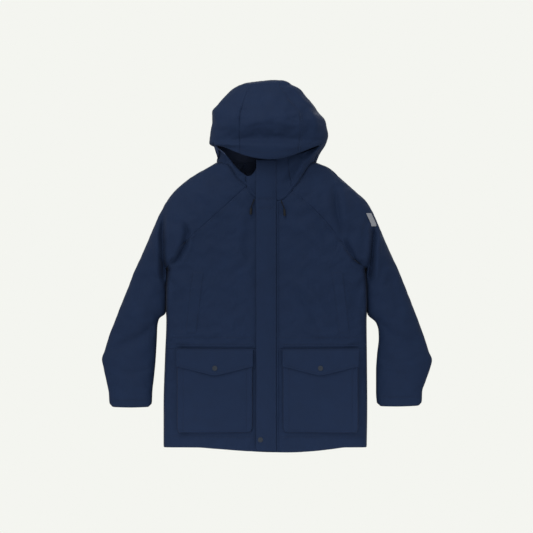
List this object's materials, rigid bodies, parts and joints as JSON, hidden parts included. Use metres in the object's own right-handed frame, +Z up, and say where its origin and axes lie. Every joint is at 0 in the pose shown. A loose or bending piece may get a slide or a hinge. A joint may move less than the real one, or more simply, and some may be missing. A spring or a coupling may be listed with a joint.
{
  "type": "foul weather jacket",
  "caption": "Hooded hip-length foul weather jacket with raglan sleeves, peaked hood, storm flap over a full zip, handwarmer pockets and flapped patch pockets.",
  "frame": {"origin": "the hanger loop's seat inside the back neck, where a hook or peg carries the jacket", "axes": "+Z up, the front of the jacket faces -Y, +X is the wearer's left"},
  "size_m": [0.952, 0.192, 1.076],
  "materials": {
    "shell": "matte coated weave",
    "lining": "smooth taffeta",
    "facing": "matte coated weave",
    "zip_tape": "woven tape with moulded teeth",
    "dark_metal": "satin dark coating",
    "snap_enamel": "satin enamel",
    "cord": "braided",
    "black_plastic": "moulded",
    "label": "blank woven satin",
    "reflective": "plain retroreflective film"
  },
  "bodies": {
    "torso": {"back_panel": "shell", "right_front_panel": "shell", "left_front_panel": "shell", "right_front_skirt": "shell", "left_front_skirt": "shell", "right_sleeve_head": "shell", "left_sleeve_head": "shell", "right_chin_guard": "shell", "left_chin_guard": "shell", "body_lining": "lining", "hem_facing": "facing", "left_front_facing": "facing", "right_front_facing": "facing", "hanger_loop": "cord", "neck_label": "label", "left_zip_tape": "zip_tape", "right_zip_tape": "zip_tape", "zip_top_stops": "dark_metal", "zip_bottom_box": "black_plastic", "wind_guard": "facing", "storm_flap_studs": "dark_metal", "storm_flap_seam": "shell", "left_patch_pocket": "shell", "right_patch_pocket": "shell", "left_pocket_stud": "dark_metal", "right_pocket_stud": "dark_metal", "left_flap_seam": "shell", "right_flap_seam": "shell", "left_hand_pocket_welt": "shell", "right_hand_pocket_welt": "shell", "left_hand_pocket_bag": "lining", "right_hand_pocket_bag": "lining", "left_drawcord": "cord", "right_drawcord": "cord", "left_cord_end": "black_plastic", "right_cord_end": "black_plastic", "reflective_tab": "reflective"},
    "hood": {"hood_centre_panel": "shell", "hood_left_panel": "shell", "hood_right_panel": "shell", "hood_peak": "shell", "hood_lining": "lining", "peak_stiffener": "black_plastic"},
    "storm_flap": {"storm_flap": "shell", "storm_flap_snap_cap": "snap_enamel", "storm_flap_sockets": "dark_metal"},
    "left_pocket_flap": {"left_pocket_flap": "shell", "left_flap_snap_cap": "snap_enamel"},
    "right_pocket_flap": {"right_pocket_flap": "shell", "right_flap_snap_cap": "snap_enamel"},
    "left_sleeve": {"left_sleeve": "shell", "left_sleeve_lining": "lining", "left_cuff_facing": "facing"},
    "right_sleeve": {"right_sleeve": "shell", "right_sleeve_lining": "lining", "right_cuff_facing": "facing"},
    "zip_slider": {"zip_slider": "dark_metal"},
    "zip_pull": {"zip_pull": "dark_metal"}
  },
  "joints": [
    {"name": "hood_fold", "type": "hinge", "parent": "torso", "child": "hood", "pos_m": [0, 0.012, 0.01], "axis": [-1, 0, 0], "range_deg": [0, 100]},
    {"name": "storm_flap_open", "type": "hinge", "parent": "torso", "child": "storm_flap", "pos_m": [0.03, -0.125, -0.402], "axis": [0, 0, 1], "range_deg": [0, 100]},
    {"name": "left_pocket_flap_lift", "type": "hinge", "parent": "torso", "child": "left_pocket_flap", "pos_m": [0.157, -0.1214, -0.533], "axis": [-1, 0, 0], "range_deg": [0, 110]},
    {"name": "right_pocket_flap_lift", "type": "hinge", "parent": "torso", "child": "right_pocket_flap", "pos_m": [-0.149, -0.1214, -0.533], "axis": [-1, 0, 0], "range_deg": [0, 110]},
    {"name": "left_sleeve_raise", "type": "hinge", "parent": "torso", "child": "left_sleeve", "pos_m": [0.23, -0.05, -0.175], "axis": [0, -1, 0], "range_deg": [0, 50]},
    {"name": "right_sleeve_raise", "type": "hinge", "parent": "torso", "child": "right_sleeve", "pos_m": [-0.23, -0.05, -0.175], "axis": [0, 1, 0], "range_deg": [0, 50]},
    {"name": "zip_slide", "type": "slide", "parent": "torso", "child": "zip_slider", "axis": [0, 0, -1], "range_m": [0, 0.74]},
    {"name": "zip_pull_swing", "type": "hinge", "parent": "zip_slider", "child": "zip_pull", "pos_m": [0.003, -0.12, -0.028], "axis": [0, 1, 0], "range_deg": [-15, 15]}
  ]
}
